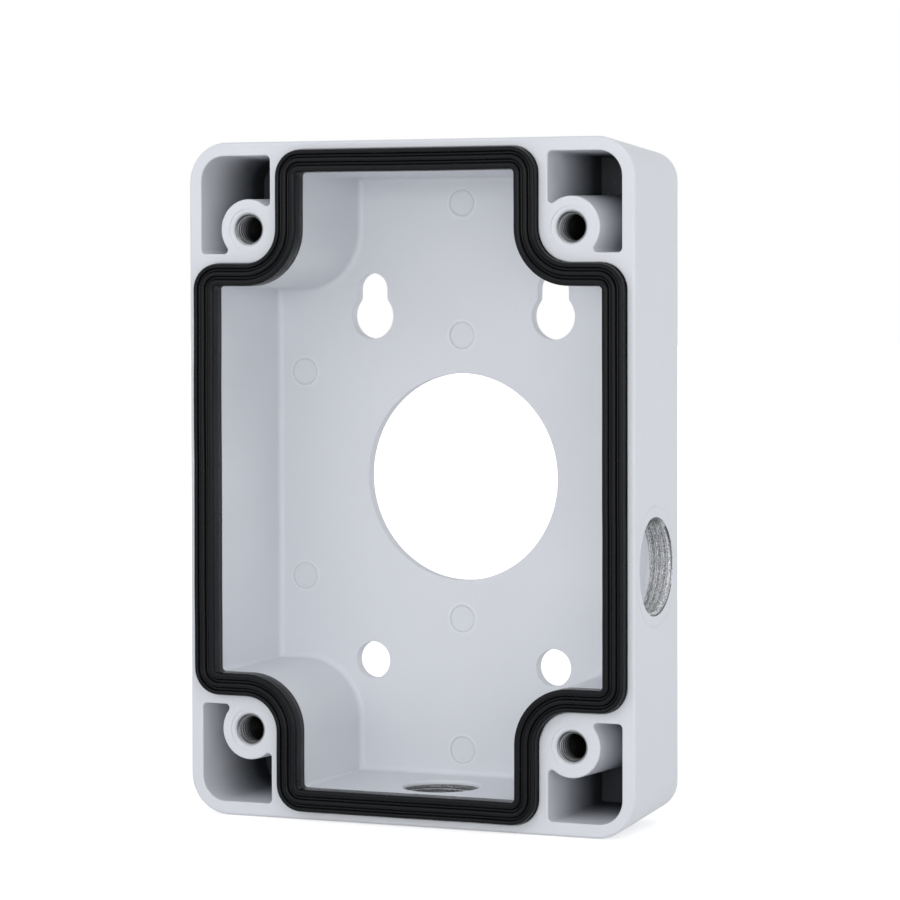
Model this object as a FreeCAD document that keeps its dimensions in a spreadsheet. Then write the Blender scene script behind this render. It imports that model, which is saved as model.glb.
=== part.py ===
# Camera junction box: a die-cast aluminium housing with an open front and a ribbed rubber seal.
#
# The housing is one casting. Its back face is the mounting face, on the plane y = 0, and its open
# front faces -Y, with +Z up. The front carries a plus-shaped cavity, four corner pockets and four
# tapped bosses that take the screws of the camera's bracket. The seal lies in a rebate round the
# cavity and stands proud of the front face.
import FreeCAD, Part
import math
import os

import Sketcher

os.makedirs("parts", exist_ok=True)
doc = FreeCAD.newDocument("camera_junction_box")

# The driving sizes, in millimetres and degrees. Each is one cell of the sheet.
SIZES = [
    ("case_width", 125.0, "housing, across the front face"),
    ("case_height", 175.0, "housing, across the front face"),
    ("case_depth", 37.5, "back face to front face"),
    ("case_corner", 10.5, "corner radius of the front outline"),
    ("case_draft", 4.5, "slope of the outer walls, narrower at the back"),
    ("front_round", 0.8, "rounding of the front outer edge"),
    ("back_round", 1.2, "rounding of the back outer edge"),
    ("floor_wall", 3.2, "thickness of the back wall"),
    ("core_draft", 1.2, "slope of the cored walls and bosses"),
    ("core_round", 1.0, "fillet where a boss meets its pocket's walls"),
    ("seal_rim", 2.35, "front face outside the seal"),
    ("seal_width", 5.75, "seal, across its ribs"),
    ("seal_gap", 0.1, "clearance round the seal in its rebate"),
    ("seal_rebate", 2.5, "depth of the rebate"),
    ("seal_proud", 2.5, "seal above the front face"),
    ("seal_corner", 1.0, "inner radius of the seal at its outer corners"),
    ("rib_height", 0.9, "depth of the seal's two grooves"),
    ("rib_inner", 1.75, "width of the inner rib"),
    ("rib_middle", 1.3, "width of the middle rib"),
    ("rib_outer", 1.2, "width of the outer rib"),
    ("rib_round", 0.4, "rounding of the ribs"),
    ("boss_inset_x", 17.25, "boss centres, in from the sides of the case"),
    ("boss_inset_z", 22.6, "boss centres, in from its top and bottom"),
    ("boss_radius", 7.8, "boss at the front face"),
    ("boss_web", 1.15, "boss edge to the seal's rebate"),
    ("tap_diameter", 8.0, "M8 thread, major diameter"),
    ("tap_depth", 22.0, "depth of the tapped holes"),
    ("tap_lead", 0.5, "chamfer at the mouth of a tapped hole"),
    ("spot_radius", 5.4, "shallow spot face round a tapped hole"),
    ("spot_depth", 0.25, "depth of the spot face"),
    ("pocket_rim", 3.6, "front face outside the corner pockets"),
    ("pocket_web", 2.6, "pocket to the seal's rebate"),
    ("pocket_corner", 6.4, "pocket radius at the case's corner"),
    ("pocket_round", 1.2, "pocket radius at its other corners"),
    ("floor_round", 1.5, "fillet round the cavity's floor"),
    ("edge_break", 0.4, "rounding of the front face's inner edges"),
    ("cable_diameter", 54.4, "cable hole in the back wall"),
    ("fix_inset_x", 36.5, "wall screw centres, in from the sides of the case"),
    ("fix_inset_z", 38.3, "wall screw centres, in from its top and bottom"),
    ("fix_diameter", 9.8, "lower screw holes"),
    ("key_head", 12.2, "keyhole, diameter of its head"),
    ("key_slot", 8.8, "keyhole, width of its slot"),
    ("key_drop", 7.0, "keyhole, slot centre down to head centre"),
    ("key_blend", 2.0, "keyhole, radius where slot meets head"),
    ("entry_depth", 16.0, "conduit axes behind the front face"),
    ("side_entry", 25.0, "M25 side entry, major diameter"),
    ("side_entry_drop", 20.4, "side entry, below the centre"),
    ("side_pad", 30.6, "raised pad round the side entry"),
    ("side_pad_inset", 1.0, "pad's face, in from the front edge of the case"),
    ("side_pad_root", 4.0, "length of the pad's disc, most of it in the wall"),
    ("lower_entry", 20.0, "M20 lower entry, major diameter"),
    ("lower_entry_x", 2.3, "lower entry, right of the centre"),
    ("entry_lead", 0.8, "countersink inside each entry"),
    ("lead_angle", 45.0, "slope of that countersink"),
    ("pin_radius", 3.4, "ejector pin marks"),
    ("pin_depth", 0.2, "depth of the ejector pin marks"),
    ("pin_side_inset", 8.4, "side pin marks, in from the mouth of the cavity"),
    ("pin_side_z", 27.3, "side pin marks, from the centre up"),
    ("pin_near_z", 37.2, "inner pin marks, from the centre up"),
    ("pin_far_inset", 7.6, "outer pin marks, in from the mouth of the cavity"),
]

# Sizes that follow from the driving ones, as formulas in the sheet.
DERIVED = [
    ("half_width", "=case_width / 2"),
    ("half_height", "=case_height / 2"),
    ("boss_x", "=half_width - boss_inset_x"),
    ("boss_z", "=half_height - boss_inset_z"),
    ("floor_depth", "=case_depth - floor_wall"),
    ("seal_x", "=half_width - seal_rim - seal_width"),
    ("seal_z", "=half_height - seal_rim - seal_width"),
    ("seal_bend", "=boss_radius + boss_web + seal_width"),
    ("rebate_width", "=seal_width + seal_gap"),
    ("rib_gap", "=(seal_width - rib_inner - rib_middle - rib_outer) / 2"),
    ("seal_base", "=seal_rebate + seal_proud - rib_height"),
    ("pocket_x_out", "=half_width - pocket_rim"),
    ("pocket_z_out", "=half_height - pocket_rim"),
    ("pocket_x_in", "=boss_x - boss_radius - boss_web + pocket_web"),
    ("pocket_z_in", "=boss_z - boss_radius - boss_web + pocket_web"),
    ("pocket_heel", "=boss_radius - core_round"),
    ("side_pad_x", "=half_width - side_pad_inset"),
    ("side_pad_radius", "=side_pad / 2"),
    ("side_entry_radius", "=side_entry / 2"),
    ("lower_entry_radius", "=lower_entry / 2"),
    ("entry_y", "=case_depth - entry_depth"),
    ("entry_reach", "=seal_rim + seal_width + 2 * entry_lead"),
    ("side_lead_x", "=seal_x - floor_depth * tan(core_draft)"),
    ("lower_lead_z", "=seal_z - floor_depth * tan(core_draft)"),
    ("cable_radius", "=cable_diameter / 2"),
    ("fix_radius", "=fix_diameter / 2"),
    ("key_head_radius", "=key_head / 2"),
    ("key_slot_radius", "=key_slot / 2"),
    ("groove_inner", "=rib_inner + rib_gap"),
    ("groove_outer", "=rib_inner + rib_gap + rib_middle"),
    ("rib_outer_start", "=seal_width - rib_outer"),
    ("seal_seat", "=case_depth - seal_rebate"),
    ("tap_radius", "=tap_diameter / 2"),
    ("rib_seat", "=seal_seat + seal_base"),
    ("fix_x", "=half_width - fix_inset_x"),
    ("fix_z", "=half_height - fix_inset_z"),
    ("key_z", "=fix_z - key_drop"),
    ("pin_side_x", "=seal_x - pin_side_inset"),
    ("pin_far_z", "=seal_z - pin_far_inset"),
]

sheet = doc.addObject("Spreadsheet::Sheet", "Sizes")
for row, (alias, value, note) in enumerate(SIZES, start=1):
    sheet.set(f"A{row}", note)
    sheet.set(f"B{row}", str(value))
    sheet.setAlias(f"B{row}", alias)
for row, (alias, formula) in enumerate(DERIVED, start=len(SIZES) + 1):
    sheet.set(f"A{row}", "follows from the sizes above")
    sheet.set(f"B{row}", formula)
    sheet.setAlias(f"B{row}", alias)
doc.recompute()
VALUES = {alias: float(sheet.get(alias)) for alias, *rest in SIZES + DERIVED}


def value_of(formula):
    """The value of a sum such as 'Sizes.boss_x - Sizes.seal_bend', for placing geometry."""
    total, sign = 0.0, 1
    for word in formula.split():
        if word in ("+", "-"):
            sign = 1 if word == "+" else -1
        else:
            total += sign * (VALUES[word[6:]] if word.startswith("Sizes.") else float(word))
    return total


def make_body(name):
    body = doc.addObject("PartDesign::Body", name)
    body.Label = name
    return body


def make_sketch(body, name, role, offset):
    """A sketch on one of the body's own planes, moved along the plane's normal by a formula."""
    sketch = body.newObject("Sketcher::SketchObject", name)
    plane = [item for item in body.Origin.OriginFeatures if item.Role == role][0]
    sketch.AttachmentSupport = [(plane, "")]
    sketch.MapMode = "FlatFace"
    sketch.setExpression("AttachmentOffset.Base.z", offset)
    return sketch


def bind(sketch, constraint, formula):
    """Add a constraint and tie its value to a formula."""
    index = sketch.addConstraint(constraint)
    sketch.setExpression(f"Constraints[{index}]", formula)


def add_circle(sketch, x_formula, y_formula, radius_formula, x_sign=1, y_sign=1):
    """A circle held by its centre and radius; each sign mirrors it across an axis."""
    x, y = value_of(x_formula), value_of(y_formula)
    radius = value_of(radius_formula)
    centre = FreeCAD.Vector(x_sign * x, y_sign * y, 0)
    circle = sketch.addGeometry(Part.Circle(centre, FreeCAD.Vector(0, 0, 1), radius))
    place_point(sketch, circle, 3, x_formula, y_formula, x_sign, y_sign)
    bind(sketch, Sketcher.Constraint("Radius", circle, radius), radius_formula)


def place_point(sketch, geometry, point, x_formula, y_formula, x_sign=1, y_sign=1):
    """Hold a point at a distance from the origin, on the given side of each axis."""
    for kind, formula, sign in (("DistanceX", x_formula, x_sign), ("DistanceY", y_formula, y_sign)):
        distance = value_of(formula)
        if formula == "0":
            axis = -2 if kind == "DistanceX" else -1
            sketch.addConstraint(Sketcher.Constraint("PointOnObject", geometry, point, axis))
        elif sign > 0:
            bind(sketch, Sketcher.Constraint(kind, -1, 1, geometry, point, distance), formula)
        else:
            bind(sketch, Sketcher.Constraint(kind, geometry, point, -1, 1, distance), formula)


def add_outline(sketch, corners):
    """A closed outline of level and upright runs joined by tangent arcs.

    Each corner is (x formula, x sign, y formula, y sign, radius formula). The runs lie on the
    corners' coordinates, and each arc has its own radius.
    """
    points = []
    radii = []
    for x_formula, x_sign, y_formula, y_sign, radius_formula in corners:
        points.append(FreeCAD.Vector(x_sign * value_of(x_formula), y_sign * value_of(y_formula), 0))
        radii.append(value_of(radius_formula))
    count = len(points)
    starts, ends = [], []
    for i in range(count):
        before = (points[i - 1] - points[i]).normalize()
        after = (points[(i + 1) % count] - points[i]).normalize()
        starts.append(points[i] + before * radii[i])
        ends.append(points[i] + after * radii[i])
    lines, arcs = [], []
    for i in range(count):
        nxt = (i + 1) % count
        lines.append(sketch.addGeometry(Part.LineSegment(ends[i], starts[nxt])))
    for i in range(count):
        centre = starts[i] + ends[i] - points[i]
        middle = centre + (points[i] - centre).normalize() * radii[i]
        arcs.append(sketch.addGeometry(Part.Arc(starts[i], middle, ends[i])))
    for i in range(count):
        centre = starts[i] + ends[i] - points[i]
        turn = (starts[i] - centre).cross(ends[i] - centre).z
        first, last = (1, 2) if turn > 0 else (2, 1)
        before, after = lines[i - 1], lines[i]
        sketch.addConstraint(Sketcher.Constraint("Tangent", before, 2, arcs[i], first))
        sketch.addConstraint(Sketcher.Constraint("Tangent", arcs[i], last, after, 1))
        bind(sketch, Sketcher.Constraint("Radius", arcs[i], radii[i]), corners[i][4])
        here, there = corners[i], corners[(i + 1) % count]
        level = here[2:4] == there[2:4]
        sketch.addConstraint(Sketcher.Constraint("Horizontal" if level else "Vertical", after))
        kind = "DistanceY" if level else "DistanceX"
        formula, sign = (here[2], here[3]) if level else (here[0], here[1])
        distance = value_of(formula)
        if sign > 0:
            bind(sketch, Sketcher.Constraint(kind, -1, 1, after, 1, distance), formula)
        else:
            bind(sketch, Sketcher.Constraint(kind, after, 1, -1, 1, distance), formula)


def seal_outline(sketch, offset):
    """The plus-shaped line of the seal, offset outwards from the cavity's edge by a formula."""
    far_x = f"Sizes.seal_x + {offset}"
    far_z = f"Sizes.seal_z + {offset}"
    near_x = f"Sizes.boss_x - Sizes.seal_bend + {offset}"
    near_z = f"Sizes.boss_z - Sizes.seal_bend + {offset}"
    corner = f"Sizes.seal_corner + {offset}"
    bend = f"Sizes.seal_bend - {offset}"
    corners = []
    for x_sign, z_sign in ((1, 1), (-1, 1), (-1, -1), (1, -1)):
        quarter = [
            (far_x, x_sign, near_z, z_sign, corner),
            (near_x, x_sign, near_z, z_sign, bend),
            (near_x, x_sign, far_z, z_sign, corner),
        ]
        corners += quarter if x_sign == z_sign else quarter[::-1]
    add_outline(sketch, corners)


def add_feature(body, kind, name, sketch, **settings):
    """A Pad or Pocket of one sketch. Settings that are text are formulas."""
    feature = body.newObject("PartDesign::" + kind, name)
    feature.Profile = sketch
    for key, setting in settings.items():
        if isinstance(setting, str) and key != "Type":
            feature.setExpression(key, setting)
        else:
            setattr(feature, key, setting)
    doc.recompute()


def round_edges(body, kind, name, chosen, amount):
    """A Fillet or Chamfer of the edges of the body's tip that a test picks."""
    base = body.Tip
    names = [f"Edge{i}" for i, edge in enumerate(base.Shape.Edges, start=1) if chosen(edge)]
    feature = body.newObject("PartDesign::" + kind, name)
    feature.Base = (base, names)
    feature.setExpression("Radius" if kind == "Fillet" else "Size", amount)
    doc.recompute()


def lies_at(edge, axis, place, slack=0.01):
    """Whether the whole edge lies on the plane where an axis has one value."""
    box = edge.BoundBox
    low, high = {"x": (box.XMin, box.XMax), "y": (box.YMin, box.YMax), "z": (box.ZMin, box.ZMax)}[axis]
    return abs(low - place) < slack and abs(high - place) < slack


def in_pocket(edge):
    """Whether an edge lies inside one of the corner pockets."""
    middle = edge.BoundBox.Center
    return abs(middle.x) > VALUES["pocket_x_in"] and abs(middle.z) > VALUES["pocket_z_in"]


def is_boss_root(edge):
    """The upright edges where a boss meets the walls of its pocket."""
    middle = edge.BoundBox.Center
    reach = math.hypot(abs(middle.x) - VALUES["boss_x"], abs(middle.z) - VALUES["boss_z"])
    upright = edge.BoundBox.YLength > VALUES["floor_depth"] / 2
    return upright and in_pocket(edge) and abs(reach - VALUES["boss_radius"]) < VALUES["core_round"]


def is_mouth(edge):
    """The edges of the front face that lie inside its outer edge."""
    box = edge.BoundBox
    reach_x = max(abs(box.XMin), abs(box.XMax))
    reach_z = max(abs(box.ZMin), abs(box.ZMax))
    margin = VALUES["front_round"] + VALUES["edge_break"]
    inside = reach_x < VALUES["half_width"] - margin and reach_z < VALUES["half_height"] - margin
    return inside and lies_at(edge, "y", -VALUES["case_depth"])


def is_key_corner(edge):
    """The short upright edges where a keyhole's slot meets its head."""
    box = edge.BoundBox
    straight = box.XLength < 0.01 and box.ZLength < 0.01 and box.YLength > VALUES["floor_wall"] / 2
    near_slot = abs(abs(box.Center.x) - VALUES["fix_x"]) < VALUES["key_slot_radius"] + 0.1
    return straight and near_slot and VALUES["key_z"] + 0.5 < box.Center.z < VALUES["fix_z"] - 0.5


def add_slot(sketch, x_sign):
    """The slot of one keyhole: round at the screw's place, square inside the head."""
    x, radius = x_sign * VALUES["fix_x"], VALUES["key_slot_radius"]
    low, high = VALUES["key_z"], VALUES["fix_z"]
    left, right = x - radius, x + radius
    crown = FreeCAD.Vector(x, high + radius, 0)
    corners = [FreeCAD.Vector(left, high, 0), FreeCAD.Vector(left, low, 0),
               FreeCAD.Vector(right, low, 0), FreeCAD.Vector(right, high, 0)]
    lines = [sketch.addGeometry(Part.LineSegment(a, b)) for a, b in zip(corners, corners[1:])]
    arc = sketch.addGeometry(Part.Arc(corners[3], crown, corners[0]))
    for before, after in zip(lines, lines[1:]):
        sketch.addConstraint(Sketcher.Constraint("Coincident", before, 2, after, 1))
    sketch.addConstraint(Sketcher.Constraint("Tangent", lines[2], 2, arc, 1))
    sketch.addConstraint(Sketcher.Constraint("Tangent", arc, 2, lines[0], 1))
    sketch.addConstraint(Sketcher.Constraint("Vertical", lines[0]))
    sketch.addConstraint(Sketcher.Constraint("Horizontal", lines[1]))
    place_point(sketch, arc, 3, "Sizes.fix_x", "Sizes.fix_z", x_sign, 1)
    bind(sketch, Sketcher.Constraint("Radius", arc, radius), "Sizes.key_slot_radius")
    bind(sketch, Sketcher.Constraint("DistanceY", -1, 1, lines[1], 1, low), "Sizes.key_z")


SIGNS = ((1, 1), (-1, 1), (-1, -1), (1, -1))
FRONT = "Sizes.case_depth"
front_y = -VALUES["case_depth"]
floor_y = -VALUES["floor_wall"]

# The housing's block, drafted from the front outline back to the wall.
housing = make_body("housing")
sketch = make_sketch(housing, "case_outline", "XZ_Plane", FRONT)
add_outline(sketch, [("Sizes.half_width", x, "Sizes.half_height", z, "Sizes.case_corner") for x, z in SIGNS])
add_feature(housing, "Pad", "case_block", sketch, Length="Sizes.case_depth", Reversed=True,
            TaperAngle="-Sizes.case_draft")
round_edges(housing, "Fillet", "case_front_edge", lambda e: lies_at(e, "y", front_y), "Sizes.front_round")
round_edges(housing, "Fillet", "case_back_edge", lambda e: lies_at(e, "y", 0), "Sizes.back_round")

# A level pad for the side entry, standing out of the drafted wall.
sketch = make_sketch(housing, "side_pad_circle", "YZ_Plane", "Sizes.side_pad_x")
add_circle(sketch, "Sizes.entry_y", "Sizes.side_entry_drop", "Sizes.side_pad_radius", -1, -1)
add_feature(housing, "Pad", "side_pad", sketch, Length="Sizes.side_pad_root", Reversed=True)


def pocket_corners(x_sign, z_sign):
    """The outline of one corner pocket; its inner corner is rounded so that the boss covers it."""
    loop = [
        ("Sizes.pocket_x_out", x_sign, "Sizes.pocket_z_out", z_sign, "Sizes.pocket_corner"),
        ("Sizes.pocket_x_in", x_sign, "Sizes.pocket_z_out", z_sign, "Sizes.pocket_round"),
        ("Sizes.pocket_x_in", x_sign, "Sizes.pocket_z_in", z_sign, "Sizes.pocket_heel"),
        ("Sizes.pocket_x_out", x_sign, "Sizes.pocket_z_in", z_sign, "Sizes.pocket_round"),
    ]
    return loop if x_sign == z_sign else loop[::-1]


# Corner pockets that save metal, each with its boss standing in it.
sketch = make_sketch(housing, "pocket_outlines", "XZ_Plane", FRONT)
for x_sign, z_sign in SIGNS:
    add_outline(sketch, pocket_corners(x_sign, z_sign))
add_feature(housing, "Pocket", "corner_pockets", sketch, Length="Sizes.floor_depth",
            TaperAngle="-Sizes.core_draft")

sketch = make_sketch(housing, "boss_circles", "XZ_Plane", FRONT)
for x_sign, z_sign in SIGNS:
    add_circle(sketch, "Sizes.boss_x", "Sizes.boss_z", "Sizes.boss_radius", x_sign, z_sign)
add_feature(housing, "Pad", "bosses", sketch, Length="Sizes.floor_depth", Reversed=True,
            TaperAngle="Sizes.core_draft")
round_edges(housing, "Fillet", "boss_roots", is_boss_root, "Sizes.core_round")

# The cavity, and the rebate that holds the seal round its mouth.
sketch = make_sketch(housing, "cavity_outline", "XZ_Plane", FRONT)
seal_outline(sketch, "0")
add_feature(housing, "Pocket", "cavity", sketch, Length="Sizes.floor_depth",
            TaperAngle="-Sizes.core_draft")
sketch = make_sketch(housing, "rebate_outline", "XZ_Plane", FRONT)
seal_outline(sketch, "Sizes.rebate_width")
add_feature(housing, "Pocket", "seal_rebate", sketch, Length="Sizes.seal_rebate")
round_edges(housing, "Fillet", "mouth_edges", is_mouth, "Sizes.edge_break")

round_edges(housing, "Fillet", "cavity_floor_edge",
            lambda e: lies_at(e, "y", floor_y) and abs(e.BoundBox.Center.x) < VALUES["seal_x"]
            and not in_pocket(e), "Sizes.floor_round")

# The ejector pins leave shallow round marks on the cavity's floor.
FLOOR = "Sizes.floor_wall"
sketch = make_sketch(housing, "pin_circles", "XZ_Plane", FLOOR)
for x_sign, z_sign in SIGNS:
    add_circle(sketch, "Sizes.pin_side_x", "Sizes.pin_side_z", "Sizes.pin_radius", x_sign, z_sign)
for z_formula in ("Sizes.pin_near_z", "Sizes.pin_far_z"):
    for z_sign in (1, -1):
        add_circle(sketch, "0", z_formula, "Sizes.pin_radius", 1, z_sign)
add_feature(housing, "Pocket", "pin_marks", sketch, Length="Sizes.pin_depth")

# Spot faces and tapped holes on the bosses.
sketch = make_sketch(housing, "spot_circles", "XZ_Plane", FRONT)
for x_sign, z_sign in SIGNS:
    add_circle(sketch, "Sizes.boss_x", "Sizes.boss_z", "Sizes.spot_radius", x_sign, z_sign)
add_feature(housing, "Pocket", "spot_faces", sketch, Length="Sizes.spot_depth")
sketch = make_sketch(housing, "tap_circles", "XZ_Plane", FRONT + " - Sizes.spot_depth")
for x_sign, z_sign in SIGNS:
    add_circle(sketch, "Sizes.boss_x", "Sizes.boss_z", "Sizes.tap_radius", x_sign, z_sign)
doc.recompute()
taps = housing.newObject("PartDesign::Hole", "tapped_holes")
taps.Profile = sketch
taps.DepthType = "Dimension"
taps.DrillPoint = "Angled"
taps.setExpression("Diameter", "Sizes.tap_diameter")
taps.setExpression("Depth", "Sizes.tap_depth")
doc.recompute()
front_spot = front_y + VALUES["spot_depth"]
round_edges(housing, "Chamfer", "tap_leads",
            lambda e: lies_at(e, "y", front_spot) and abs(e.Length - math.pi * VALUES["tap_diameter"]) < 0.1,
            "Sizes.tap_lead")

# Holes through the back wall: the cable's, two for screws, and two keyholes to hang it by.
sketch = make_sketch(housing, "back_circles", "XZ_Plane", FLOOR)
add_circle(sketch, "0", "0", "Sizes.cable_radius")
for x_sign in (1, -1):
    add_circle(sketch, "Sizes.fix_x", "Sizes.fix_z", "Sizes.fix_radius", x_sign, -1)
    add_circle(sketch, "Sizes.fix_x", "Sizes.key_z", "Sizes.key_head_radius", x_sign, 1)
add_feature(housing, "Pocket", "back_holes", sketch, Type="ThroughAll")
sketch = make_sketch(housing, "slot_outlines", "XZ_Plane", FLOOR)
for x_sign in (1, -1):
    add_slot(sketch, x_sign)
add_feature(housing, "Pocket", "key_slots", sketch, Type="ThroughAll")
round_edges(housing, "Fillet", "key_blends", is_key_corner, "Sizes.key_blend")

# The side entry, through its pad.
sketch = make_sketch(housing, "side_entry_circle", "YZ_Plane", "Sizes.half_width")
add_circle(sketch, "Sizes.entry_y", "Sizes.side_entry_drop", "Sizes.side_entry_radius", -1, -1)
add_feature(housing, "Pocket", "side_entry", sketch, Length="Sizes.entry_reach")
sketch = make_sketch(housing, "side_lead_circle", "YZ_Plane", "Sizes.side_lead_x")
add_circle(sketch, "Sizes.entry_y", "Sizes.side_entry_drop",
           "Sizes.side_entry_radius + Sizes.entry_lead", -1, -1)
add_feature(housing, "Pocket", "side_entry_lead", sketch, Length="Sizes.entry_lead", Reversed=True,
            TaperAngle="-Sizes.lead_angle")

# The lower entry.
sketch = make_sketch(housing, "lower_entry_circle", "XY_Plane", "-Sizes.half_height")
add_circle(sketch, "Sizes.lower_entry_x", "Sizes.entry_y", "Sizes.lower_entry_radius", 1, -1)
add_feature(housing, "Pocket", "lower_entry", sketch, Length="Sizes.entry_reach", Reversed=True)
sketch = make_sketch(housing, "lower_lead_circle", "XY_Plane", "-Sizes.lower_lead_z")
add_circle(sketch, "Sizes.lower_entry_x", "Sizes.entry_y",
           "Sizes.lower_entry_radius + Sizes.entry_lead", 1, -1)
add_feature(housing, "Pocket", "lower_entry_lead", sketch, Length="Sizes.entry_lead",
            TaperAngle="-Sizes.lead_angle")

# The seal: a flat ring in the rebate with three rounded ribs on it.
gasket = make_body("gasket")
sketch = make_sketch(gasket, "seal_outlines", "XZ_Plane", "Sizes.seal_seat")
seal_outline(sketch, "0")
seal_outline(sketch, "Sizes.seal_width")
add_feature(gasket, "Pad", "seal_ring", sketch, Length="Sizes.seal_base")
RIBS = [
    ("inner_rib", "0", "Sizes.rib_inner"),
    ("middle_rib", "Sizes.groove_inner", "Sizes.groove_outer"),
    ("outer_rib", "Sizes.rib_outer_start", "Sizes.seal_width"),
]
for name, inner_edge, outer_edge in RIBS:
    sketch = make_sketch(gasket, name + "_outlines", "XZ_Plane", "Sizes.rib_seat")
    seal_outline(sketch, inner_edge)
    seal_outline(sketch, outer_edge)
    add_feature(gasket, "Pad", name, sketch, Length="Sizes.rib_height")
proud_y = front_y - VALUES["seal_proud"]
round_edges(gasket, "Fillet", "rib_edges", lambda e: lies_at(e, "y", proud_y), "Sizes.rib_round")

for item in doc.Objects:
    if "Invalid" in item.State or "Error" in item.State:
        raise SystemExit(f"{item.Name} failed: {item.State}")
for body in (housing, gasket):
    shape = body.Shape
    if shape.isNull() or not shape.isValid() or len(shape.Solids) != 1:
        raise SystemExit(f"{body.Label} is not one valid solid")
    shape.exportStep(f"parts/{body.Label}.step")
    box = shape.BoundBox
    print(body.Label, "volume", round(shape.Volume, 1), "box",
          [round(v, 2) for v in (box.XMin, box.YMin, box.ZMin, box.XMax, box.YMax, box.ZMax)])
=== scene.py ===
"""Camera junction box: a powder-coated casting with bare threads and a black ribbed rubber seal."""
import math

import bmesh
import bpy
from mathutils import Matrix, Vector


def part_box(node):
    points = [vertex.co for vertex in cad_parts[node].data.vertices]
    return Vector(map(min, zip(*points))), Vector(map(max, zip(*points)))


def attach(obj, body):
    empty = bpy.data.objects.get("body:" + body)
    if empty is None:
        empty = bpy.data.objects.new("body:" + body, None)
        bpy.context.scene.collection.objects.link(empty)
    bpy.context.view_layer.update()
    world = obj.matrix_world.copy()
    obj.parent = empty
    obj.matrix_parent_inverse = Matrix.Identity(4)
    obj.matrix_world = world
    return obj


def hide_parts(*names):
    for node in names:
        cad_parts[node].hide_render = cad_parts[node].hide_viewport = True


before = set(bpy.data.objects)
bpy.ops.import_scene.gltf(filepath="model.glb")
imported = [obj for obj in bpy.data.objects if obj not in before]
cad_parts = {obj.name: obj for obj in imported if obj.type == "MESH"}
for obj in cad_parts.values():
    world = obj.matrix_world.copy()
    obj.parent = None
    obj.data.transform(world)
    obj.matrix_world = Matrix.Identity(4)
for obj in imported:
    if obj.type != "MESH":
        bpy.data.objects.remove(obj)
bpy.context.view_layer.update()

MM = 0.001
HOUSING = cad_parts["housing"]
CASE_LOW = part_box("housing")[0]
SEAL_LOW, SEAL_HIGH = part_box("gasket")

# Sockets of a Mix node for colours, by number, because several of them share a name.
MIX_FIRST = 6
MIX_SECOND = 7
MIX_RESULT = 2

# The camera at the photograph's angle: its place in metres, its turns in degrees, its lens in millimetres.
CAMERA_PLACE = (0.40051, -0.88816, 0.05312)
CAMERA_YAW = 24.536
CAMERA_PITCH = -1.631
CAMERA_ROLL = 0.108
CAMERA_LENS = 148.14
CAMERA_SENSOR = 36.0
CAMERA_SHIFT_Y = -0.0778
CAMERA_REACH = 50.0

# The screw bosses, the floor of the cavity, and the recesses cored out beside the bosses.
BOSS_X = 45.25 * MM
BOSS_Z = 64.9 * MM
CAVITY_FLOOR = -3.1 * MM
POCKET_INNER = (38.7 * MM, 58.4 * MM)
POCKET_CORE = (52.5 * MM, 77.5 * MM)
POCKET_ROUND = 6.5 * MM
POCKET_EDGE = 0.15 * MM
# Painted shade in the recesses: it starts near the mouth, is full at the deep end, and turns darkest past
# the last share.
POCKET_LIP = CASE_LOW[1] + 6.5 * MM
POCKET_DEEP = -5.0 * MM
POCKET_DARKEST = 0.86

# The marks that the ejector pins left on the floor of the cavity, in one quarter of it.
PIN_PLACES = ((46.0 * MM, 27.3 * MM), (0.0, 71.8 * MM), (0.0, 37.2 * MM))
PIN_RADIUS = 3.45 * MM
PIN_HALO = 3.97 * MM
PIN_LIP = 0.40 * MM
PIN_REACH = 0.3 * MM

# The powder coat: its tones, how strongly its marks show, and how high its relief stands.
COAT_COOL = (0.690, 0.704, 0.742, 1.0)
COAT_WARM = (0.735, 0.748, 0.785, 1.0)
# Painted shade deep in the recesses, and a darker painted shade at their deepest.
POCKET_SHADE_TONE = (0.085, 0.100, 0.122, 1.0)
POCKET_DEEP_SHADE_TONE = (0.034, 0.038, 0.046, 1.0)
SPECK_TONE = (0.46, 0.47, 0.50, 1.0)
# Painted shade on the thin ring of each pin mark, and a painted highlight on the ring just outside it.
PIN_RING_SHADE = (0.40, 0.42, 0.46, 1.0)
PIN_RING_HIGHLIGHT = (0.84, 0.85, 0.88, 1.0)
SPECK_SHARE = 0.10
RING_SHARE = 0.10
HALO_SHARE = 0.45
COAT_ROUGH = (0.40, 0.52)
COAT_SPECULAR = 0.45
GRAIN_RISE = 0.05 * MM
RING_RISE = 0.3 * MM
PAD_RISE = 0.4 * MM

# The seal.
SEAL_WIDTH = 5.75 * MM
SEAL_CORNER = 1.0 * MM
SEAL_BEND = 14.7 * MM
RIB_HEIGHT = 0.9 * MM
RIB_WIDTHS = (1.75 * MM, 1.3 * MM, 1.2 * MM)
RIB_STEPS = 12
RIB_SQUARENESS = (0.8, 0.6)
BEND_STEPS = 16
SEAL_ROUGH = (0.22, 0.36)
SEAL_SPECULAR = 0.12
SEAL_DUST = 0.12

# A nick and a crease in the seal: where each is, how far it reaches and how deep it sinks.
SEAL_DENTS = (
    (Vector((0.7, -40.0, 83.6)) * MM, 0.9 * MM, 0.28 * MM),
    (Vector((-30.0, -40.0, 78.5)) * MM, 1.6 * MM, 0.22 * MM),
)

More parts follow.
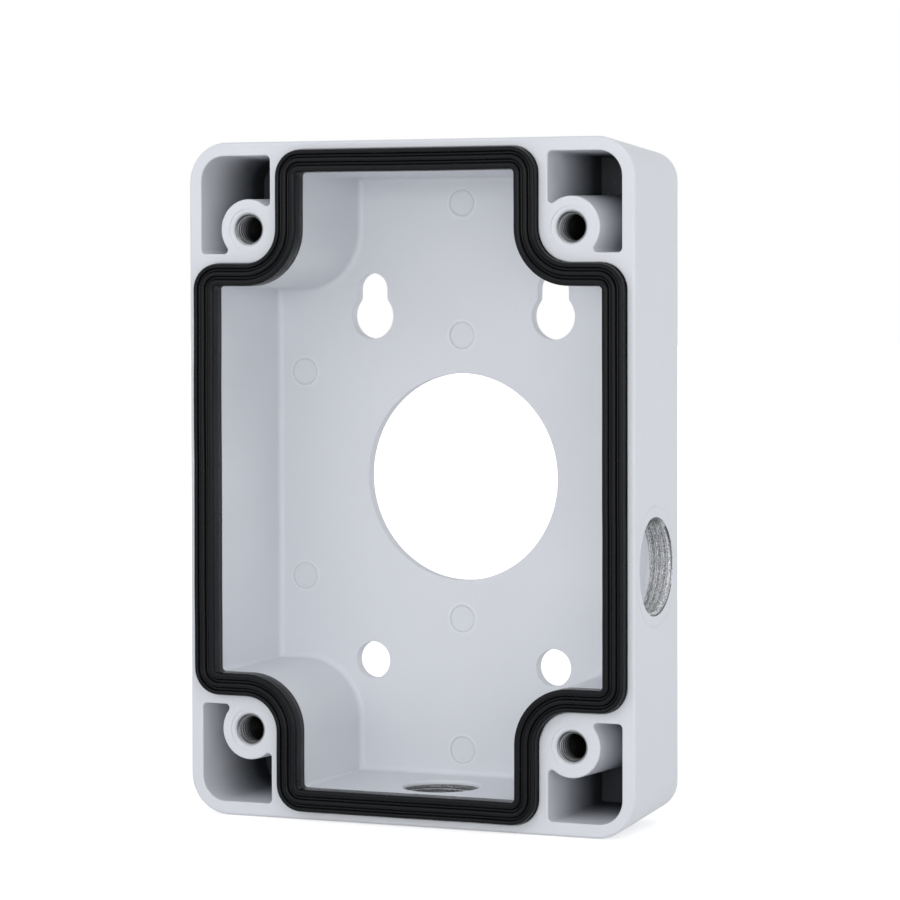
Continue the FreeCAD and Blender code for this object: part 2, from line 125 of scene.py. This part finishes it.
# The threads: radius at the root, radius at the crest, and pitch.
BOSS_THREAD = (4.0 * MM, 3.35 * MM, 1.25 * MM)
SIDE_THREAD = (12.5 * MM, 11.65 * MM, 1.5 * MM)
LOWER_THREAD = (10.0 * MM, 9.15 * MM, 1.5 * MM)
BOSS_MOUTH = CASE_LOW[1] + 0.6 * MM
BOSS_THREADED = 20.7 * MM
SIDE_MOUTH = Vector((61.45, -21.5, -20.4)) * MM
SIDE_THREADED = 6.5 * MM
LOWER_MOUTH = Vector((2.3, -21.5, -79.9)) * MM
LOWER_THREADED = 5.9 * MM
ROWS_PER_TURN = 12
BURIED = 0.12 * MM

# A thread's form: its flanks' steepness, its flat root, and the part of a pitch in which its ends open out.
FLANK_STEEP = 1.5
FLANK_START = 0.3
LEAD_PART = 0.6

# Bare metal in the threads: where a crest begins against the painted shade in the roots, the depth in
# diameters of the painted shadow line at the lip, where painted shade at the top of a bore begins, and the
# tones.
CREST_RANGE = (0.6, 0.9)
LIP_RANGE = (0.012, 0.026)
SHADED_FROM = 0.8
BARE_METALLIC = 0.85
BARE_PATCHES = 0.6
BARE_ROUGH_RANGE = 0.2
BARE_SPECK_SHARE = 0.8

# The low pad round the side entry.
PAD_RADIUS = 14.6 * MM
PAD_SLOPE = 1.2 * MM
PAD_LEVEL = 60.0 * MM

# The studio: metres, watts and strengths. The floor glows more where it is further from the box.
FLOOR_REACH = 6.0
FLOOR_LEVEL = CASE_LOW[2] - 0.2 * MM
FLOOR_COLOUR = (0.80, 0.80, 0.80, 1.0)
FLOOR_ROUGH = 0.9
FLOOR_NEAR = 0.15
FLOOR_FAR = 1.0
FLOOR_GLOW = (0.60, 1.0)
SKY_COLOUR = (0.93, 0.96, 1.0, 1.0)
SKY_STRENGTH = 0.50
WHITE = (1.0, 1.0, 1.0, 1.0)
LAMPS = (
    ("key", (-0.8, -1.3, 0.6), 1.2, 0.9, 4.5),
    ("top", (0.5, -0.7, 1.5), 1.0, 1.0, 3.5),
    ("front", (0.5, -1.6, 0.17), 1.6, 0.45, 7.0),
    ("fill", (1.5, -0.5, 0.2), 1.4, 0.5, 2.6),
    ("rim", (1.3, 0.8, 0.35), 1.0, 0.6, 2.5),
)


def add_node(tree, kind, inputs=None, **settings):
    """A node with its settings and the values or sockets of its inputs, by name or number."""
    made = tree.nodes.new(kind)
    for key, value in settings.items():
        setattr(made, key, value)
    for key, value in (inputs or {}).items():
        if isinstance(value, bpy.types.NodeSocket):
            tree.links.new(value, made.inputs[key])
        else:
            made.inputs[key].default_value = value
    return made


def sums(tree, operation, *values):
    """The result of one Math node."""
    return add_node(tree, "ShaderNodeMath", dict(enumerate(values)), operation=operation).outputs[0]


def ramp(tree, value, low, high, start=0.0, end=1.0, shape="LINEAR"):
    """A value carried from one range to another, and held at its ends."""
    inputs = {"Value": value, "From Min": low, "From Max": high, "To Min": start, "To Max": end}
    return add_node(tree, "ShaderNodeMapRange", inputs, interpolation_type=shape).outputs["Result"]


def tint(tree, factor, first, second):
    """A colour between two others."""
    inputs = {"Factor": factor, MIX_FIRST: first, MIX_SECOND: second}
    return add_node(tree, "ShaderNodeMix", inputs, data_type="RGBA").outputs[MIX_RESULT]


def mark(tree, mask, share, colour, other):
    """A colour with a share of another laid over it where a mask is."""
    return tint(tree, sums(tree, "MULTIPLY", mask, share), colour, other)


def spread(tree, value, ends):
    """A value from 0 to 1 carried to a range of its own."""
    return ramp(tree, value, 0.0, 1.0, *ends)


def grey(level, blue=0.0):
    """A grey of one level, with a little more blue."""
    return (level, level + blue / 3, level + blue, 1.0)


def grain_group():
    """Fine surface grain: a height for bump, slow patches for changes of tone, and sparse specks."""
    tree = bpy.data.node_groups.new("surface_grain", "ShaderNodeTree")
    for label, value in (("Grain Size", 0.6 * MM), ("Patch Size", 20 * MM), ("Speck Level", 0.66)):
        socket = tree.interface.new_socket(label, in_out="INPUT", socket_type="NodeSocketFloat")
        socket.default_value = value
    for label in ("Height", "Patches", "Specks"):
        tree.interface.new_socket(label, in_out="OUTPUT", socket_type="NodeSocketFloat")
    given = tree.nodes.new("NodeGroupInput").outputs
    result = tree.nodes.new("NodeGroupOutput").inputs
    place = add_node(tree, "ShaderNodeTexCoord").outputs["Object"]
    noises = []
    for size, detail in (("Grain Size", 2.0), ("Patch Size", 3.0)):
        inputs = {"Vector": place, "Scale": sums(tree, "DIVIDE", 1.0, given[size]), "Detail": detail}
        noises.append(add_node(tree, "ShaderNodeTexNoise", inputs).outputs["Fac"])
    fine, wide = noises
    full = sums(tree, "ADD", given["Speck Level"], 0.10)
    tree.links.new(fine, result["Height"])
    tree.links.new(wide, result["Patches"])
    tree.links.new(ramp(tree, fine, given["Speck Level"], full), result["Specks"])
    return tree


GRAIN = grain_group()


def new_material(name):
    """A material with its node tree and its shader."""
    material = bpy.data.materials.new(name)
    material.use_nodes = True
    return material, material.node_tree, material.node_tree.nodes["Principled BSDF"]


def place_grain(tree, size, patch, specks=0.66):
    """The surface grain with a material's own sizes."""
    inputs = {"Grain Size": size, "Patch Size": patch, "Speck Level": specks}
    return add_node(tree, "ShaderNodeGroup", inputs, node_tree=GRAIN).outputs


def finish(tree, shader, colour, rough, normal):
    """Joins a colour, a roughness and a normal to the shader."""
    tree.links.new(colour, shader.inputs["Base Color"])
    tree.links.new(rough, shader.inputs["Roughness"])
    tree.links.new(normal, shader.inputs["Normal"])


def bump(tree, height, distance, strength, under=None):
    """A bumped normal, which may lie over another."""
    inputs = {"Height": height, "Distance": distance, "Strength": strength}
    if under:
        inputs["Normal"] = under
    return add_node(tree, "ShaderNodeBump", inputs).outputs["Normal"]


def pocket_depth(tree, across, level, upward):
    """How deep a point lies in one of the four recesses, from 0 at the mouth to 1, as a mask for painted
    shade.
    """
    past_x = sums(tree, "MAXIMUM", sums(tree, "SUBTRACT", across, POCKET_CORE[0]), 0.0)
    past_z = sums(tree, "MAXIMUM", sums(tree, "SUBTRACT", upward, POCKET_CORE[1]), 0.0)
    past = add_node(tree, "ShaderNodeCombineXYZ", {"X": past_x, "Z": past_z}).outputs[0]
    away = add_node(tree, "ShaderNodeVectorMath", {0: past}, operation="LENGTH").outputs["Value"]
    depth_shade = ramp(tree, level, POCKET_LIP, POCKET_DEEP, shape="SMOOTHSTEP")
    walls = [ramp(tree, away, POCKET_ROUND + POCKET_EDGE, POCKET_ROUND + POCKET_EDGE / 2),
             ramp(tree, across, POCKET_INNER[0], POCKET_INNER[0] + POCKET_EDGE),
             ramp(tree, upward, POCKET_INNER[1], POCKET_INNER[1] + POCKET_EDGE),
             ramp(tree, level, CAVITY_FLOOR + POCKET_EDGE, CAVITY_FLOOR)]
    for wall in walls:
        depth_shade = sums(tree, "MULTIPLY", depth_shade, wall)
    return depth_shade


def pin_rings(tree, across, level, upward, radius):
    """Thin rings of one radius about the ejector-pin marks, as a mask."""
    folded = add_node(tree, "ShaderNodeCombineXYZ", {"X": across, "Z": upward}).outputs[0]
    rings = 0.0
    for x, z in PIN_PLACES:
        middle = {0: folded, 1: (x, 0.0, z)}
        away = add_node(tree, "ShaderNodeVectorMath", middle, operation="DISTANCE").outputs["Value"]
        off = sums(tree, "ABSOLUTE", sums(tree, "SUBTRACT", away, radius))
        rings = sums(tree, "MAXIMUM", rings, ramp(tree, off, 0.0, PIN_LIP, 1.0, 0.0, "SMOOTHSTEP"))
    return sums(tree, "MULTIPLY", rings, sums(tree, "COMPARE", level, CAVITY_FLOOR, PIN_REACH))


def entry_pad(tree, across, place):
    """The low round pad about the side entry, as a height."""
    off = add_node(tree, "ShaderNodeVectorMath", {0: place, 1: SIDE_MOUTH}, operation="SUBTRACT")
    flat = add_node(tree, "ShaderNodeVectorMath",
                    {0: off.outputs[0], 1: (0.0, 1.0, 1.0)}, operation="MULTIPLY")
    away = add_node(tree, "ShaderNodeVectorMath", {0: flat.outputs[0]}, operation="LENGTH").outputs["Value"]
    height = ramp(tree, away, PAD_RADIUS, PAD_RADIUS + PAD_SLOPE, 1.0, 0.0, "SMOOTHSTEP")
    return sums(tree, "MULTIPLY", height, sums(tree, "GREATER_THAN", across, PAD_LEVEL))


def powder_coat():
    """Off-white satin powder coat, cooler in broad patches, with shade painted deep in the recesses and
    painted shade and highlight rings at the pin marks.
    """
    material, tree, shader = new_material("powder_coat")
    grain = place_grain(tree, size=0.7 * MM, patch=30 * MM)
    place = add_node(tree, "ShaderNodeTexCoord").outputs["Object"]
    axes = add_node(tree, "ShaderNodeSeparateXYZ", {"Vector": place}).outputs
    across = sums(tree, "ABSOLUTE", axes["X"])
    upward = sums(tree, "ABSOLUTE", axes["Z"])
    rings = pin_rings(tree, across, axes["Y"], upward, PIN_RADIUS)
    highlight_rings = pin_rings(tree, across, axes["Y"], upward, PIN_HALO)
    depth_shade = pocket_depth(tree, across, axes["Y"], upward)
    colour = tint(tree, grain["Patches"], COAT_COOL, COAT_WARM)
    # Painted shade deep in the recesses, darkest at the back of them.
    colour = tint(tree, depth_shade, colour, POCKET_SHADE_TONE)
    colour = tint(tree, ramp(tree, depth_shade, POCKET_DARKEST, 1.0), colour, POCKET_DEEP_SHADE_TONE)
    colour = mark(tree, grain["Specks"], SPECK_SHARE, colour, SPECK_TONE)
    # Painted shade on the pin rings and a painted highlight on the rings just outside them; the rings also
    # stand as a low bump.
    colour = mark(tree, rings, RING_SHARE, colour, PIN_RING_SHADE)
    colour = mark(tree, highlight_rings, HALO_SHARE, colour, PIN_RING_HIGHLIGHT)
    pad = bump(tree, entry_pad(tree, axes["X"], place), PAD_RISE, strength=0.5)
    ridge = bump(tree, rings, RING_RISE, strength=0.5, under=pad)
    normal = bump(tree, grain["Height"], GRAIN_RISE, strength=0.22, under=ridge)
    finish(tree, shader, colour, spread(tree, grain["Patches"], COAT_ROUGH), normal)
    shader.inputs["Specular IOR Level"].default_value = COAT_SPECULAR
    return material


def bare_thread(name, bright, specks, rough, dark_at, root_shade=0.0, lip_shade=0.0):
    """Cut aluminium, speckled where the tool tore it, with shade painted darker with depth, in its roots and
    as a thin line at its lip.
    """
    material, tree, shader = new_material(name)
    grain = place_grain(tree, size=0.30 * MM, patch=3 * MM, specks=specks)
    depth_shade = add_node(tree, "ShaderNodeAttribute", attribute_name="depth_shade").outputs["Fac"]
    colour = tint(tree, grain["Patches"], grey(bright * BARE_PATCHES, 0.02), grey(bright, 0.02))
    if root_shade:
        crest = add_node(tree, "ShaderNodeAttribute", attribute_name="crest").outputs["Fac"]
        # Painted shade in the thread roots, clear of the crests.
        colour = tint(tree, ramp(tree, crest, *CREST_RANGE, root_shade, 0.0), colour, grey(0.05, 0.01))
    colour = mark(tree, grain["Specks"], BARE_SPECK_SHARE, colour, grey(0.10, 0.02))
    # Painted shade: darker the deeper into the bore, in diameters.
    colour = tint(tree, ramp(tree, depth_shade, 0.0, dark_at), colour, grey(0.008, 0.001))
    if lip_shade:
        # A painted shadow line just inside the mouth.
        colour = tint(tree, ramp(tree, depth_shade, *LIP_RANGE, lip_shade, 0.0), colour, grey(0.06, 0.01))
    normal = bump(tree, grain["Height"], distance=0.06 * MM, strength=0.5)
    finish(tree, shader, colour, spread(tree, grain["Patches"], (rough, rough + BARE_ROUGH_RANGE)), normal)
    shader.inputs["Metallic"].default_value = BARE_METALLIC
    return material


def seal_rubber():
    """Black moulded rubber with a faint bloom and a few specks of dust."""
    material, tree, shader = new_material("seal_rubber")
    grain = place_grain(tree, size=0.4 * MM, patch=8 * MM)
    colour = tint(tree, grain["Patches"], grey(0.002, 0.001), grey(0.004, 0.002))
    colour = mark(tree, grain["Specks"], SEAL_DUST, colour, grey(0.30))
    normal = bump(tree, grain["Height"], distance=0.04 * MM, strength=0.18)
    finish(tree, shader, colour, spread(tree, grain["Patches"], SEAL_ROUGH), normal)
    shader.inputs["Specular IOR Level"].default_value = SEAL_SPECULAR
    return material


def seal_outline(offset):
    """The seal's plus-shaped line in its own plane, outwards from its inner edge by an offset."""
    far_x = SEAL_HIGH[0] - SEAL_WIDTH + offset
    far_z = SEAL_HIGH[2] - SEAL_WIDTH + offset
    near_x = BOSS_X - SEAL_BEND + offset
    near_z = BOSS_Z - SEAL_BEND + offset
    corners = []
    for x_sign, z_sign in ((1, 1), (-1, 1), (-1, -1), (1, -1)):
        quarter = [
            (far_x * x_sign, near_z * z_sign, SEAL_CORNER + offset),
            (near_x * x_sign, near_z * z_sign, SEAL_BEND - offset),
            (near_x * x_sign, far_z * z_sign, SEAL_CORNER + offset),
        ]
        corners += quarter if x_sign == z_sign else quarter[::-1]
    points = []
    for i, (x, z, radius) in enumerate(corners):
        here = Vector((x, z))
        before = (Vector(corners[i - 1][:2]) - here).normalized()
        after = (Vector(corners[(i + 1) % len(corners)][:2]) - here).normalized()
        centre = here + (before + after) * radius
        for step in range(BEND_STEPS + 1):
            angle = math.pi / 2 * step / BEND_STEPS
            points.append(centre - after * radius * math.cos(angle) - before * radius * math.sin(angle))
    return points


def poly_curve(name, points):
    """A closed curve of straight runs through points in its own plane."""
    data = bpy.data.curves.new(name, "CURVE")
    data.dimensions = "3D"
    spline = data.splines.new("POLY")
    spline.points.add(len(points) - 1)
    for target, (x, y) in zip(spline.points, points):
        target.co = (x, y, 0.0, 1.0)
    spline.use_cyclic_u = True
    made = bpy.data.objects.new(name, data)
    bpy.context.scene.collection.objects.link(made)
    return made


def seal_section():
    """The seal's section: a flat underside and three rounded ribs, from its inner edge outwards."""
    base = SEAL_HIGH[1] - SEAL_LOW[1] - RIB_HEIGHT
    gap = (SEAL_WIDTH - sum(RIB_WIDTHS)) / 2
    half = SEAL_WIDTH / 2
    points = [(-half, 0.0), (-half, base / 2)]
    wide, tall = RIB_SQUARENESS
    start = -half
    for width in RIB_WIDTHS:
        centre = start + width / 2
        for step in range(RIB_STEPS + 1):
            angle = math.pi * (1 - step / RIB_STEPS)
            level = abs(math.sin(angle)) ** tall
            across = math.copysign(abs(math.cos(angle)) ** wide, math.cos(angle))
            points.append((centre + across * width / 2, base + level * RIB_HEIGHT))
        start += width + gap
    return points + [(half, base / 2), (half, 0.0)]


def seal_tree(material, section):
    """Sweeps the section along the seal's line, which wanders a little as soft rubber does."""
    tree = bpy.data.node_groups.new("seal_sweep", "GeometryNodeTree")
    tree.interface.new_socket("Geometry", in_out="INPUT", socket_type="NodeSocketGeometry")
    for label, value in (("Spacing", 0.6 * MM), ("Wander", 0.3 * MM), ("Wave Length", 22 * MM)):
        socket = tree.interface.new_socket(label, in_out="INPUT", socket_type="NodeSocketFloat")
        socket.default_value = value
    tree.interface.new_socket("Geometry", in_out="OUTPUT", socket_type="NodeSocketGeometry")
    given = tree.nodes.new("NodeGroupInput").outputs
    result = tree.nodes.new("NodeGroupOutput").inputs

    even = add_node(tree, "GeometryNodeResampleCurve",
                    {"Curve": given["Geometry"], "Length": given["Spacing"]}, mode="LENGTH")
    scale = sums(tree, "DIVIDE", 1.0, given["Wave Length"])
    wave = add_node(tree, "ShaderNodeTexNoise", {"Scale": scale, "Detail": 1.0})
    centred = add_node(tree, "ShaderNodeVectorMath",
                       {0: wave.outputs["Color"], 1: (0.5, 0.5, 0.5)}, operation="SUBTRACT")
    drift = add_node(tree, "ShaderNodeVectorMath",
                     {0: centred.outputs[0], "Scale": given["Wander"]}, operation="SCALE")
    flat = add_node(tree, "ShaderNodeVectorMath",
                    {0: drift.outputs[0], 1: (1.0, 1.0, 0.0)}, operation="MULTIPLY")
    moved = add_node(tree, "GeometryNodeSetPosition",
                     {"Geometry": even.outputs["Curve"], "Offset": flat.outputs[0]})
    upright = add_node(tree, "GeometryNodeSetCurveNormal", {"Curve": moved.outputs["Geometry"]}, mode="Z_UP")
    shape = add_node(tree, "GeometryNodeObjectInfo", {"Object": section})
    swept = add_node(tree, "GeometryNodeCurveToMesh",
                     {"Curve": upright.outputs["Curve"], "Profile Curve": shape.outputs["Geometry"]})
    smooth = add_node(tree, "GeometryNodeSetShadeSmooth",
                      {"Geometry": swept.outputs["Mesh"], "Shade Smooth": True})
    real = add_node(tree, "GeometryNodeRealizeInstances", {"Geometry": smooth.outputs["Geometry"]})
    coloured = add_node(tree, "GeometryNodeSetMaterial",
                        {"Geometry": real.outputs["Geometry"], "Material": material})
    tree.links.new(coloured.outputs["Geometry"], result["Geometry"])
    return tree


def plain_mesh(source, name):
    """The evaluated shape of an object as a plain mesh; the source object is removed."""
    bpy.context.view_layer.update()
    graph = bpy.context.evaluated_depsgraph_get()
    mesh = bpy.data.meshes.new_from_object(source.evaluated_get(graph))
    mesh.name = name
    bpy.data.objects.remove(source)
    made = bpy.data.objects.new(name, mesh)
    bpy.context.scene.collection.objects.link(made)
    return made


def outward_normals(mesh):
    """Merges a mesh's doubles and turns its faces outwards."""
    work = bmesh.new()
    work.from_mesh(mesh)
    bmesh.ops.remove_doubles(work, verts=work.verts, dist=1e-7)
    bmesh.ops.recalc_face_normals(work, faces=work.faces)
    work.to_mesh(mesh)
    work.free()


def make_seal(material):
    """The rubber seal, lying on its seat with its ribs to the front."""
    section = poly_curve("seal_section", seal_section())
    path = poly_curve("seal_path", seal_outline(SEAL_WIDTH / 2))
    sweep = path.modifiers.new("sweep", "NODES")
    sweep.node_group = seal_tree(material, section)
    made = plain_mesh(path, "ribbed_seal")
    bpy.data.objects.remove(section)
    mesh = made.data
    heights = [vertex.co.z for vertex in mesh.vertices]
    side = 1.0 if max(heights) > -min(heights) else -1.0
    for vertex in mesh.vertices:
        x, y, z = vertex.co
        vertex.co = (x, SEAL_HIGH[1] - side * z, y)
        for spot, reach, sink in SEAL_DENTS:
            away = (vertex.co - spot).length / reach
            if away < 1.0:
                vertex.co.y += sink * (1 - away * away) ** 2
    outward_normals(mesh)
    mesh.shade_smooth()
    return made


def thread_rise(along, turn, length, pitch):
    """How high a cut thread stands, from 0 at its flat root to 1 on its crest, opened out at both ends."""
    phase = (along / pitch - turn) % 1.0
    rise = min(max(abs(2 * phase - 1) * FLANK_STEEP - FLANK_START, 0.0), 1.0)
    lead = pitch * LEAD_PART
    return min(rise, along / lead, (length - along) / lead)


def make_thread(name, mouth, inward, length, thread, material, columns=72, top_shade=0.0, all_shade=0.0):
    """A ring of helical thread lining a bore, from its mouth inwards, closed behind in the metal.

    Its points keep how deep they lie, in diameters, which the material paints as shade, and how near a crest
    they are. That depth is raised towards the top of the ring by one amount and all over it by another, to
    paint more shade there.
    """
    inward = Vector(inward)
    side = inward.orthogonal().normalized()
    up = inward.cross(side)
    root, crest, pitch = thread
    rows = int(length / pitch * ROWS_PER_TURN)
    rings = [(length * row / rows, True) for row in range(rows + 1)] + [(length, False), (0.0, False)]
    work = bmesh.new()
    depth_shades = []
    crests = []
    loops = []
    for along, cut in rings:
        loop = []
        for column in range(columns):
            turn = column / columns
            rise = thread_rise(along, turn, length, pitch) if cut else -BURIED / (root - crest)
            angle = 2 * math.pi * turn
            outward = side * math.cos(angle) + up * math.sin(angle)
            loop.append(work.verts.new(mouth + inward * along + outward * (root - rise * (root - crest))))
            # Painted shade towards the top of the bore, and all over the bore where asked.
            shaded = top_shade * max(0.0, (outward.z - SHADED_FROM) / (1 - SHADED_FROM))
            depth_shades.append(along / (2 * root) + shaded + (all_shade if cut else 0.0))
            # How near a crest, with the first pitch counted as crest, so the painted root shade keeps off
            # it.
            crests.append(max(rise, 1 - along / pitch) if cut else 0.0)
        loops.append(loop)
    for loop, following in zip(loops, loops[1:] + loops[:1]):
        for column in range(columns):
            after = (column + 1) % columns
            work.faces.new((loop[column], loop[after], following[after], following[column]))
    bmesh.ops.recalc_face_normals(work, faces=work.faces)
    mesh = bpy.data.meshes.new(name)
    work.to_mesh(mesh)
    work.free()
    for label, values in (("depth_shade", depth_shades), ("crest", crests)):
        mesh.attributes.new(label, "FLOAT", "POINT").data.foreach_set("value", values)
    mesh.materials.append(material)
    mesh.shade_smooth()
    made = bpy.data.objects.new(name, mesh)
    bpy.context.scene.collection.objects.link(made)
    return made


def make_threads():
    """The four boss threads and the threads of the two conduit entries."""
    # The boss threads get painted shade in their roots, the entry threads a painted shadow line at the lip.
    narrow = bare_thread("boss_thread", bright=0.60, specks=0.60, rough=0.36, dark_at=0.80, root_shade=0.97)
    wide = bare_thread("entry_thread", bright=0.96, specks=0.45, rough=0.60, dark_at=1.50, lip_shade=0.95)
    made = []
    for height, z_sign in (("upper", 1), ("lower", -1)):
        for hand, x_sign in (("left", -1), ("right", 1)):
            mouth = Vector((x_sign * BOSS_X, BOSS_MOUTH, z_sign * BOSS_Z))
            name = f"boss_thread_{height}_{hand}"
            made.append(make_thread(name, mouth, (0, 1, 0), BOSS_THREADED, BOSS_THREAD, narrow))
    # Painted shade at the top of the side entry's bore, and all over the lower entry's bore.
    made.append(make_thread("side_entry_thread", SIDE_MOUTH, (-1, 0, 0), SIDE_THREADED, SIDE_THREAD,
                            wide, columns=144, top_shade=1.1))
    made.append(make_thread("lower_entry_thread", LOWER_MOUTH, (0, 0, -1), LOWER_THREADED, LOWER_THREAD,
                            wide, columns=144, all_shade=0.9))
    return made


def seen_plainly(tree):
    """1 for rays from the camera, off gloss or through glass, which see the white background."""
    path = add_node(tree, "ShaderNodeLightPath").outputs
    either = sums(tree, "MAXIMUM", path["Is Camera Ray"], path["Is Glossy Ray"])
    return sums(tree, "MAXIMUM", either, path["Is Transmission Ray"])


def make_floor():
    """A pale floor that runs into a white background and keeps the box's shadow."""
    mesh = bpy.data.meshes.new("studio_floor")
    signs = ((-1, -1), (1, -1), (1, 1), (-1, 1))
    corners = [(x * FLOOR_REACH, y * FLOOR_REACH, FLOOR_LEVEL) for x, y in signs]
    mesh.from_pydata(corners, [], [(0, 1, 2, 3)])
    floor = bpy.data.objects.new("studio_floor", mesh)
    bpy.context.scene.collection.objects.link(floor)
    material, tree, shader = new_material("floor_paper")
    shader.inputs["Base Color"].default_value = FLOOR_COLOUR
    shader.inputs["Roughness"].default_value = FLOOR_ROUGH
    place = add_node(tree, "ShaderNodeTexCoord").outputs["Object"]
    away = add_node(tree, "ShaderNodeVectorMath", {0: place}, operation="LENGTH").outputs["Value"]
    strength = ramp(tree, away, FLOOR_NEAR, FLOOR_FAR, *FLOOR_GLOW)
    glow = add_node(tree, "ShaderNodeEmission", {"Color": WHITE, "Strength": strength})
    both = add_node(tree, "ShaderNodeAddShader", {0: shader.outputs[0], 1: glow.outputs[0]})
    inputs = {0: seen_plainly(tree), 1: shader.outputs[0], 2: both.outputs[0]}
    seen = add_node(tree, "ShaderNodeMixShader", inputs)
    tree.links.new(seen.outputs[0], tree.nodes["Material Output"].inputs["Surface"])
    mesh.materials.append(material)


def make_world():
    """Soft cool light from all round, and a plain white background."""
    world = bpy.data.worlds.new("studio")
    bpy.context.scene.world = world
    world.use_nodes = True
    tree = world.node_tree
    lit = tree.nodes["Background"]
    lit.inputs["Color"].default_value = SKY_COLOUR
    lit.inputs["Strength"].default_value = SKY_STRENGTH
    white = add_node(tree, "ShaderNodeBackground", {"Color": WHITE, "Strength": 1.0})
    inputs = {0: seen_plainly(tree), 1: lit.outputs[0], 2: white.outputs[0]}
    mixed = add_node(tree, "ShaderNodeMixShader", inputs)
    tree.links.new(mixed.outputs[0], tree.nodes["World Output"].inputs["Surface"])


def make_lamp(name, place, width, height, power):
    """A soft rectangular lamp that faces the box."""
    data = bpy.data.lights.new(name, "AREA")
    data.shape = "RECTANGLE"
    data.size = width
    data.size_y = height
    data.energy = power
    lamp = bpy.data.objects.new(name, data)
    lamp.location = place
    lamp.rotation_euler = (-Vector(place)).to_track_quat("-Z", "Y").to_euler()
    bpy.context.scene.collection.objects.link(lamp)


def make_camera():
    """The camera, seen from where the photograph was taken."""
    data = bpy.data.cameras.new("camera")
    data.lens = CAMERA_LENS
    data.sensor_width = CAMERA_SENSOR
    data.shift_y = CAMERA_SHIFT_Y
    data.clip_end = CAMERA_REACH
    made = bpy.data.objects.new("camera", data)
    turn = (Matrix.Rotation(math.radians(CAMERA_YAW), 4, "Z")
            @ Matrix.Rotation(math.radians(90 + CAMERA_PITCH), 4, "X")
            @ Matrix.Rotation(math.radians(-CAMERA_ROLL), 4, "Z"))
    made.matrix_world = Matrix.Translation(CAMERA_PLACE) @ turn
    bpy.context.scene.collection.objects.link(made)
    bpy.context.scene.camera = made


def coat_housing(material):
    """The casting keeps its shape and gets its coat."""
    if not HOUSING.material_slots:
        HOUSING.data.materials.append(material)
    for slot in HOUSING.material_slots:
        slot.material = material


coat_housing(powder_coat())

seal = make_seal(seal_rubber())
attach(seal, "root")
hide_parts("gasket")

for thread in make_threads():
    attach(thread, "root")

make_floor()
make_world()
for name, place, width, height, power in LAMPS:
    make_lamp(name, place, width, height, power)
make_camera()
bpy.context.scene.view_settings.view_transform = "Standard"
